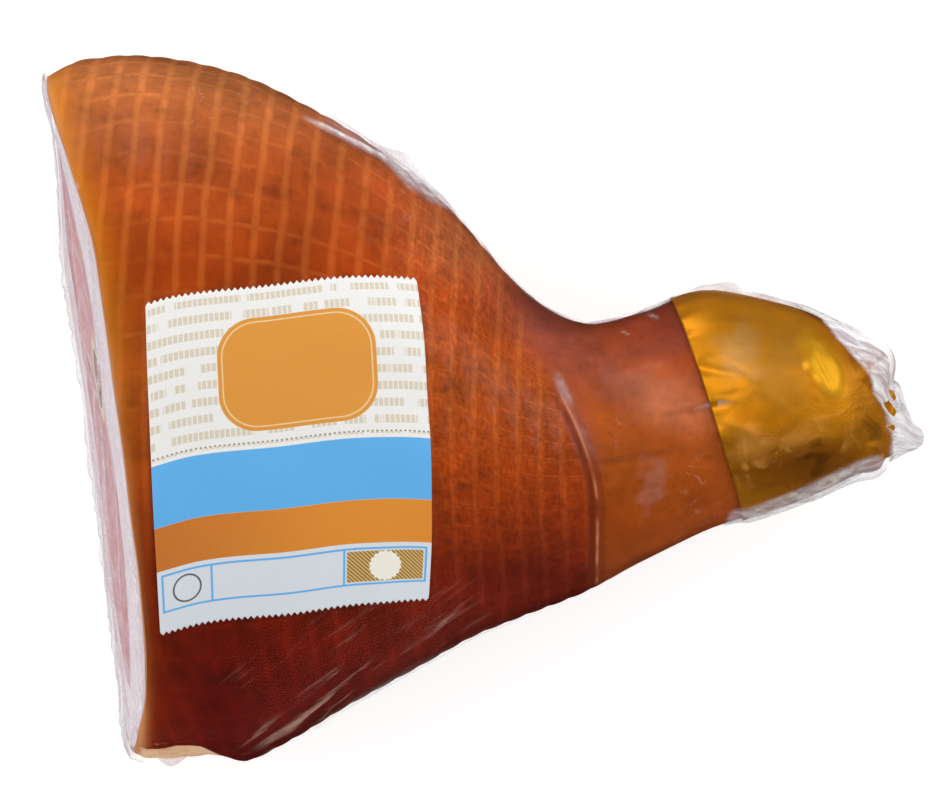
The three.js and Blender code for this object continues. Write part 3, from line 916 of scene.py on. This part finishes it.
label_skin = skin(*wrapped(want_x, want_round))
label_normal = -outward(label_skin[::-1], closed=False)[::-1]
label_normal *= np.sign((label_normal[..., 2]).mean())
PAPER_LIFT, PAPER = 0.45, 0.22
label_waves = 0.12 * swell(label_skin, 20, 21)
label_points = label_skin + label_normal * (PAPER_LIFT + label_waves + skin_relief(label_skin))[..., None]
label_size = np.stack([(over + 0.5) * LABEL_WIDTH, (0.5 - down) * LABEL_HEIGHT + tooth], -1)
label = sheet_of("label", label_points, {"print": label_size})
alone(label)
bpy.ops.object.shade_smooth()
if label.data.polygons[len(label.data.polygons) // 2].normal.z < 0:
    bpy.ops.object.mode_set(mode="EDIT")
    bpy.ops.mesh.select_all(action="SELECT")
    bpy.ops.mesh.flip_normals()
    bpy.ops.object.mode_set(mode="OBJECT")
finish_modifier(label, "SOLIDIFY", thickness=PAPER * MM, offset=1)
print("the label is", LABEL_WIDTH, "x", LABEL_HEIGHT, "mm")

# %% The label's print
paper = Finish("printed paper", Specular_IOR_Level=0.2, Coat_Weight=0.10, Coat_Roughness=0.15)
right, up, _ = paper.parts(paper.node("ShaderNodeUVMap", {"uv_map": "print"}))
BLUR = 0.16  # ink spreads this far, in millimetres


def band(value, low, high):
    return value.ease(low - BLUR, low + BLUR) * (1 - value.ease(high - BLUR, high + BLUR))


def panel(left, low, far, high):
    return band(right, left, far) * band(up, low, high)


def rounded_panel(left, low, far, high, radius):
    """A rectangle with rounded corners."""
    out_x = (abs(right - (left + far) / 2) - ((far - left) / 2 - radius)).most(0.0)
    out_y = (abs(up - (low + high) / 2) - ((high - low) / 2 - radius)).most(0.0)
    return 1 - hypotenuse(out_x, out_y).ease(radius - BLUR, radius + BLUR)


def disc(x, y, radius):
    return 1 - hypotenuse(right - x, up - y).ease(radius - BLUR, radius + BLUR)


# %% Bars, rules and panels
BLUE, ORANGE, WHITE, BROWN = paint("58B2F0"), paint("E48C10"), paint("F1EFEC"), paint("8A6A3A")
BEIGE = paint("D8CCB4")
bar_row = (up / 6.2).fraction()
bar_noise = paper.noise(1.0, 1, 0.5, paper.together(right * 0.16, (up / 6.2 - bar_row) * 7.3))
bar_gaps = band((right / 1.9).fraction() * 1.9, 0.25, 1.7)
bars = band(bar_row * 6.2, 1.6, 4.6) * bar_noise.ease(0.40, 0.44) * band(up, 66, 122) * bar_gaps
ink = paper.mix(bars * 0.9, WHITE, BEIGE)
ink = paper.mix(rounded_panel(25, 71, 82, 113, 14), ink, paint("E2952C"))
thin_line = rounded_panel(26.4, 72.4, 80.6, 111.6, 12.8) * (1 - rounded_panel(26.9, 72.9, 80.1, 111.1, 12.4))
ink = paper.mix(thin_line, ink, paint("F2CF98"))
dots = band((right / 1.7).fraction() * 1.7, 0.4, 1.2) * band(up, 66.6, 67.2)
ink = paper.mix(dots, ink, paint("8E8878"))
ink = paper.mix(panel(-2, 41.5, 104, 64.5), ink, BLUE)
# The orange band is darker towards the label's left end as painted shade, where the leg curves away.
ink = paper.mix(panel(-2, 25, 104, 41.5), ink, paper.mix(right.ease(-5, 75), paint("CC7004"), ORANGE))
boxes = panel(1.5, 8.6, 98.5, 23.4)
for left, far in ((2.3, 19.6), (20.4, 67.6), (68.4, 97.7)):
    boxes = boxes * (1 - panel(left, 9.4, far, 22.6))
# The lower white panel is tinted blue-grey as painted shade, where the label curves down the leg.
ink = paper.mix(panel(-2, -4, 104, 25), ink, paint("DDE3EA"))
ink = paper.mix(boxes, ink, BLUE)
ink = paper.mix(disc(10.9, 16, 5.4) * (1 - disc(10.9, 16, 4.7)), ink, paint("5A5A60"))
hatch = band((((right + up) / 1.5).fraction()) * 1.5, 0.35, 1.15)
ink = paper.mix(panel(69, 10, 97.1, 22), ink, paper.mix(hatch, paint("E6B860"), BROWN))
SEAL_X, SEAL_Y, SEAL_TEETH = 83, 16, 18
angle_round = paper.node("ShaderNodeMath", {"operation": "ARCTAN2"}, {0: up - SEAL_Y, 1: right - SEAL_X})
serration = abs((angle_round * (SEAL_TEETH / (2 * math.pi))).fraction() - 0.5) * 1.2
seal = 1 - (hypotenuse(right - SEAL_X, up - SEAL_Y) + serration).ease(5.9, 6.3)
ink = paper.mix(seal, ink, paint("F7F3E6"))
fibres = paper.noise(900, 3, 0.7)
ink = paper.mix(fibres * 0.10, ink, paint("C9C2B6"))
paper.give(
    Base_Color=ink,
    Roughness=0.34 + 0.16 * fibres,
    Normal=paper.bump(fibres + 2.5 * paper.noise(70, 3), 0.0004, 0.35),
)
dress(label, paper)
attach(label, "root")
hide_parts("label")

# %% [markdown]
# ## The vacuum film
# The film is shrunk onto everything, so on the broad faces it can hardly be seen. It shows where there is
# spare film: at the cut's edge, in fins along the two sides, round the foil and in the flat tail, and
# glints and highlights are painted on the tight film in a few places. One closed skin hugs the whole pack,
# and thin ribbons stand off it for the fins.

# %% The film's rings
FILM_ROWS_AT = np.concatenate([CUT_AT + np.array([0, 0.8, 2.0]), spread(CUT_AT + 4, WRAP_END, 215)])
FILM_COLUMNS = 281
TAIL_AT, TAIL_MIDDLE, TAIL_HEIGHT, TAIL_REACH = 170.3, -12.6, 44.6, 5.6
even = spread(0, 1, FILM_COLUMNS)
film_shares = even + 0.009 * np.sin(4 * math.pi * even)  # more columns at the two sides
film_body = np.stack([ring_points(at, film_shares) for at in FILM_ROWS_AT])
film_rim = film_body[0]
film_face_middle = film_rim[:-1].mean(0)
FACE_FILM_SHARES = np.concatenate([spread(0, 0.9, 12), spread(0.92, 0.995, 8)])
film_face = film_face_middle + FACE_FILM_SHARES[:, None, None] * (film_rim - film_face_middle)
film_face[..., 0] = cut_x(film_face)
film_end = film_body[-1]
mouth_turn = even * 2 * math.pi - math.pi / 2
mouth_x = TAIL_AT - 5.5 * np.abs(np.cos(mouth_turn)) ** 3
mouth_y = TAIL_MIDDLE + TAIL_REACH * np.cos(mouth_turn)
mouth_z = TAIL_HEIGHT + 0.5 * np.sin(mouth_turn)
mouth = np.stack([mouth_x, mouth_y, mouth_z], -1)
mouth[-1] = mouth[0]
TAIL_ROWS = 22
tail_shares = spread(0, 1, TAIL_ROWS)[1:]
film_tail = np.stack([film_end + ease(0, 1, share) ** 0.9 * (mouth - film_end) for share in tail_shares])
film_tail[..., 0] = film_end[:, 0] + tail_shares[:, None] * (mouth[:, 0] - film_end[:, 0])
mouth_middle = [TAIL_AT, TAIL_MIDDLE, TAIL_HEIGHT]
bare_film = np.concatenate([film_face, film_body, film_tail, mouth_middle + 0 * mouth[None]])
in_tail = np.zeros(bare_film.shape[:2])
in_tail[-1 - TAIL_ROWS : -1] = spread(0, 1, TAIL_ROWS)[:, None]
in_tail[-1] = 1
face_film_rows = len(film_face)
print("the film's grid:", bare_film.shape[:2])

# %% Where spare film shows, and where glints and highlights are painted on the tight film
def near_seam(points, places, width):
    """1 along a run of places seen from above, falling to 0 across a width."""
    gaps = []
    for start, end in zip(np.array(places[:-1], float), np.array(places[1:], float)):
        way = end - start
        t = np.clip(((points[..., :2] - start) @ way) / (way @ way), 0, 1)
        gaps.append(np.linalg.norm(points[..., :2] - start - t[..., None] * way, axis=-1))
    return ease(width, 0.6 * width, np.min(gaps, axis=0))


UPPER_SEAM = [(84, 47), (100, 46), (118, 40), (130, 33), (139, 22), (147, 11), (153, 1)]
LOWER_SEAM = [(98, -43), (120, -35), (148, -22)]
x, y, z = np.moveaxis(bare_film, -1, 0)
film_angle = np.broadcast_to(film_shares, x.shape)
upper_side = np.exp(-(((film_angle - 0.27) / 0.012) ** 2))
lower_side = np.exp(-(((film_angle - 0.73) / 0.012) ** 2))
on_foil = ease(-3, 4, x - (FOIL_EDGE + FOIL_SKEW * (y - SHIFT[1])) - SHIFT[0])
seen = ease(36, 46, z)
behind_cut = np.maximum(0, x - film_rim[:, 0])
haze = (
    0.30 * upper_side * ease(-70, -20, x) * (1 - on_foil)
    + 0.30 * lower_side * ease(-70, -40, x) * ease(30, 0, x)
    + seen * 0.80 * near_seam(bare_film, UPPER_SEAM, 4.0)
    + seen * 0.42 * near_seam(bare_film, LOWER_SEAM, 6.0)
    + 0.95 * ease(151, 155.5, x + 0.12 * y + 1.2 * swell(bare_film, 7, 71))
    + 0.08 * np.exp(-((behind_cut / 2.0) ** 2)) * (x >= film_rim[:, 0])
    + 0.85 * along_line(bare_film, (-68, 106.5), (-30, 88), 0.9)
    + 0.30 * along_line(bare_film, (-62, 109), (-24, 93), 4.5) * ease(48, 64, z)
    + 0.55 * oval(bare_film, (-24, 83.5), (19, -13), 14, 4.6, 0.5, 0.06) * ease(48, 64, z)
    # Painted sheen on the flat top of the crease.
    + 0.34 * along_line(bare_film, (28, 12), (33, 0), 1.7)
    + 0.10 * along_line(bare_film, (33, 0), (43, -22), 1.6)
    # Painted highlights of the lamps in the tight film on the shank.
    + 0.09 * oval(bare_film, (64, -29), (0.2, 1), 9.5, 5, 0.3, 0.35) * ease(52, 66, z)
    + 0.05 * oval(bare_film, (62, 8), (1, 0.1), 14, 6, 0.7, 0.3) * ease(52, 66, z)
    # Painted glints on small folds of the film.
    + 0.3 * along_line(bare_film, (80, -1.2), (94, 1.4), 0.7)
    + 0.35 * along_line(bare_film, (64, 33), (68, 31.5), 0.6)
    + 0.3 * along_line(bare_film, (53, 27), (56.5, 25), 0.4)
)
haze[:face_film_rows] = 0.40 + 0.25 * FACE_FILM_SHARES[:, None] ** 12
haze = np.clip(haze, 0, 1)

# %% Wrinkles and lift of the film
film_lift = 1.0 + 0.5 * under_label(bare_film) + 1.5 * on_foil * (1 - in_tail)
loose = np.clip(haze + 0.5 * ease(-104, -122, y) * ease(-110, -70, x), 0, 1)
film_turn = 2 * math.pi * film_angle
film_wrinkle = 0.35 * (0.5 - ridges(bare_film, 9, 31)) * (0.15 + loose)
film_wrinkle = film_wrinkle + 0.25 * (0.5 - ridges(bare_film, 3.5, 32)) * loose
tail_pleats = 1.1 * np.sin(13 * film_turn + 2 * swell(bare_film, 14, 33)) * np.sin(math.pi * in_tail) ** 0.7
foil_folds = np.abs(np.sin(5.5 * film_turn)) * 0.9 * ease(105, 158, x) * (1 - in_tail)
pleat = 0.9 * along_line(bare_film, (-68, 106.5), (-30, 88), 1.2)
at_rim = np.exp(-(((x - film_rim[:, 0]) / 2.2) ** 2))
crimps = 0.5 * np.sin(90 * film_turn + 3 * np.sin(17 * film_turn)) * at_rim
film_relief = skin_relief(bare_film) * (1 - ease(140, 158, x)) + film_lift + film_wrinkle
film_relief = film_relief + tail_pleats + foil_folds + pleat + crimps
film_relief = (film_relief + ears(bare_film)) * (1 - 0.85 * in_tail)
film_points = bare_film + outward(bare_film) * film_relief[..., None]
film_points = settle(film_points, 0.9)
film_points[:, -1] = film_points[:, 0]
film_points[0], film_points[-1] = film_points[0].mean(0), film_points[-1].mean(0)
film_laid = np.stack([film_angle * 60, x / 5.0], -1)
film_laid[:face_film_rows] = bare_film[:face_film_rows, :, 1:] / 6.0
# Where highlights are painted along the film's wrinkles: on the lower edge and at the upper shoulder.
low_edge = np.exp(-(((film_angle - 0.700) / 0.050) ** 2))
wrinkled = low_edge * ease(-104, -78, x) * ease(12, -25, x)
wrinkled = wrinkled + 0.35 * ease(-60, -15, x) * ease(45, 62, y) * ease(40, 20, x)
wrinkled[:face_film_rows] = 0
film_marks = {"haze": haze, "wrinkled": wrinkled}
vacuum_film = sheet_of("vacuum_film", film_points, {"strain": film_laid}, film_marks)
close_up(vacuum_film)

# %% [markdown]
# ### Fins of spare film
# A fin is a ribbon that stands off the film where two layers cling together. Its free edge is wavy and
# crimped. Each one is a short grid bent along the side of the leg and then joined to the film.

# %% Making a ribbon
RIBBON_COLUMNS = 9


def ribbon(name, root, way, height, seed, fan):
    """A strip that stands off a line of root points by a ragged height, with a wavy free edge."""
    share = spread(0, 1, len(root))
    out = spread(0, 1, RIBBON_COLUMNS)
    way = way / np.linalg.norm(way, axis=1)[:, None]
    ragged = 0.8 + 0.3 * swell(root, 9, seed)
    tall = height * np.sin(math.pi * np.clip(share, 0.01, 0.99)) ** 0.5 * ragged
    points = root[:, None] + way[:, None] * (0.4 + out[None, :, None] * tall[:, None, None])
    points[..., 2] += out[None] ** 1.5 * 1.0 * swell(points, 7, seed + 1)
    run = np.gradient(root, axis=0)
    run = run / np.linalg.norm(run, axis=1)[:, None]
    points += run[:, None] * (out[None] * (share[:, None] - 0.45) * height * fan)[..., None]
    length = np.linalg.norm(np.diff(root, axis=0), axis=1).sum()
    strain = np.stack(np.broadcast_arrays(share[:, None] * length / 4.5, out[None] * 1.5), -1)
    # The free edge is painted more opaque and whiter, as a highlight along it.
    edge = np.broadcast_to(0.80 + 0.20 * out[None] ** 3, points.shape[:2]).copy()
    made = sheet_of(name, points, {"strain": strain}, {"haze": edge})
    alone(made)
    bpy.ops.object.shade_smooth()
    return made


def side_fin(name, start, end, angle, height, seed, fan=0.0):
    """A ribbon along one side of the leg, standing straight out from it."""
    at = spread(start, end, max(20, int((end - start) * 1.6)))
    way = np.stack([0 * at, np.cos(angle) + 0 * at, 0.5 * np.sin(angle) + 0 * at], -1)
    return ribbon(name, skin(at, angle + 0 * at), way, height, seed, fan)


def cut_fin(name, first, last, height, seed, fan=0.0):
    """A ribbon along part of the cut's rim, standing off the cut face."""
    turned = spread(first, last, 40)
    way = np.stack([0 * turned - 1, 0.4 * np.cos(turned), 0 * turned], -1)
    return ribbon(name, skin(CUT_AT, turned), way, height, seed, fan)


fins = [
    side_fin("fin_flap", -38, -9, 0.12, 5.5, 41, fan=0.8),
    side_fin("fin_shoulder", -12, 42, 0.06, 2.4, 44),
    side_fin("fin_ankle", 36, 84, 0.08, 2.2, 47),
    side_fin("fin_upper_foil", 70, 141, 0.10, 4.4, 50),
    side_fin("fin_lower_foil", 92, 154, math.pi - 0.06, 4.0, 53),
    side_fin("fin_lower_shank", 34, 92, math.pi - 0.05, 1.0, 56),
    side_fin("fin_nose", -148.4, -126, math.pi + 0.02, 5.5, 59, fan=-0.3),
    cut_fin("fin_bump", 0.02, 0.22, 2.4, 62),
]
bpy.ops.object.select_all(action="DESELECT")
for fin in fins:
    fin.select_set(True)
vacuum_film.select_set(True)
bpy.context.view_layer.objects.active = vacuum_film
bpy.ops.object.join()
print("the film has", len(vacuum_film.data.polygons), "faces with its fins")

# %% The film's finish
clear = Finish("clear shrink film", Roughness=0.16, Specular_IOR_Level=0.6)
shown = clear.mark("haze")
strain_map = clear.node("ShaderNodeUVMap", {"uv_map": "strain"})
streaks = clear.noise(1.0, 4, 0.65, clear.stretched(0.8, 0.5, 1, strain_map), twist=0.8)
cross_streaks = clear.noise(150, 3, 0.6, twist=1.2)
# Painted glints: short thin white lines scattered over the tight film.
bend_line = 1 - abs(clear.noise(70, 2, twist=1.5) - 0.5).ease(0.002, 0.012)
glints_and_highlights = bend_line * clear.noise(11, 2).ease(0.54, 0.66) * clear.noise(230, 2).ease(0.50, 0.60) * 0.28
holes = clear.noise(95, 3, 0.6).ease(0.54, 0.68)
film_x, film_y, film_z = clear.parts(clear.place)
slanting = clear.together(film_x * 20 + film_y * 14, film_y * 250 - film_x * 190, film_z * 30)
wrinkle_noise = clear.noise(1.0, 3, 0.6, slanting, twist=0.3)
wrinkle = wrinkle_noise.ease(0.52, 0.70) * clear.noise(42, 2).ease(0.36, 0.56)
# Painted highlights along the film's wrinkles.
glints_and_highlights = glints_and_highlights + clear.mark("wrinkled") * (0.01 + 0.42 * wrinkle)
veil = shown * (0.66 + 0.5 * streaks.ease(0.38, 0.72)) * (0.80 + 0.44 * cross_streaks)
veil = veil * (1 - 0.45 * holes) + glints_and_highlights
loose_film = clear.mix(streaks.ease(0.3, 0.6), paint("E0D2DE"), paint("FDFBFD"))
# The tight film's warm pink colour shows in the painted glints and highlights, and the loose film is milky
# white.
clear.give(
    Base_Color=clear.mix(shown.ease(0.03, 0.16), paint("F0C0AC"), loose_film),
    Alpha=(veil + 0.003).least(0.92),
    Roughness=0.12 + 0.22 * cross_streaks,
    Normal=clear.bump(streaks + cross_streaks * 0.6, 0.0012, 0.6),
)
dress(vacuum_film, clear)
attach(vacuum_film, "root")
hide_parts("vacuum_film")

# %% [markdown]
# ## Floor, light and camera
# A wide pale floor and soft light from the sides show a wrapped ham best: a lamp straight overhead would
# lie as a white patch on the tight film. The camera looks straight down on the leg.

# %% Floor
bpy.ops.object.select_all(action="DESELECT")
bpy.ops.mesh.primitive_plane_add(size=14, location=(0, 0, -0.0005))
floor = bpy.context.object
floor.name = "floor"
ground = Finish(
    "pale floor", Roughness=0.9, Specular_IOR_Level=0.1, Emission_Color=(1, 1, 1, 1), Emission_Strength=0.72
)
ground.give(Base_Color=ground.mix(ground.noise(3, 2) * 0.3, paint("B4B4B4"), paint("B0B0B0")))
dress(floor, ground)
floor.visible_glossy = False  # a white floor mirrored in the film would wash out the dark flank

# %% Lights
world = bpy.data.worlds.new("pale room")
bpy.context.scene.world = world
world.use_nodes = True
world.node_tree.nodes["Background"].inputs["Color"].default_value = (1, 1, 1, 1)
world.node_tree.nodes["Background"].inputs["Strength"].default_value = 0.80
world.cycles_visibility.glossy = False


def softbox(name, place, aim, size, watts):
    bpy.ops.object.light_add(type="AREA", location=place)
    lamp = bpy.context.object
    lamp.name, lamp.data.shape, lamp.data.size, lamp.data.energy = name, "DISK", size, watts
    reach = [a - p for a, p in zip(aim, place)]
    flat = math.hypot(reach[0], reach[1])
    lamp.rotation_euler = (math.atan2(flat, -reach[2]), 0, math.atan2(reach[1], reach[0]) - math.pi / 2)
    return lamp


softbox("key", (-0.4, 1.7, 0.8), (0, 0, 0.06), 1.0, 12)
softbox("left_fill", (-1.6, 0.1, 0.5), (0, 0, 0.06), 0.9, 3)
softbox("right_fill", (1.6, 0.5, 0.6), (0, 0, 0.06), 0.9, 5)
foil_card = softbox("foil_card", (0.5, 0.45, 1.8), (0.12, 0, 0.06), 0.9, 14)
lit_foil = bpy.data.collections.new("lit_foil")
lit_foil.objects.link(hock_foil)
foil_card.light_linking.receiver_collection = lit_foil

# %% Camera
bpy.ops.object.camera_add(location=(-0.0047, 0.0042, 2.5626), rotation=(0, 0, 0))
camera = bpy.context.object
camera.name, camera.data.lens, camera.data.sensor_width = "above", 250, 36
camera.data.clip_end = 20
bpy.context.scene.camera = camera
bpy.context.scene.view_settings.view_transform = "Standard"
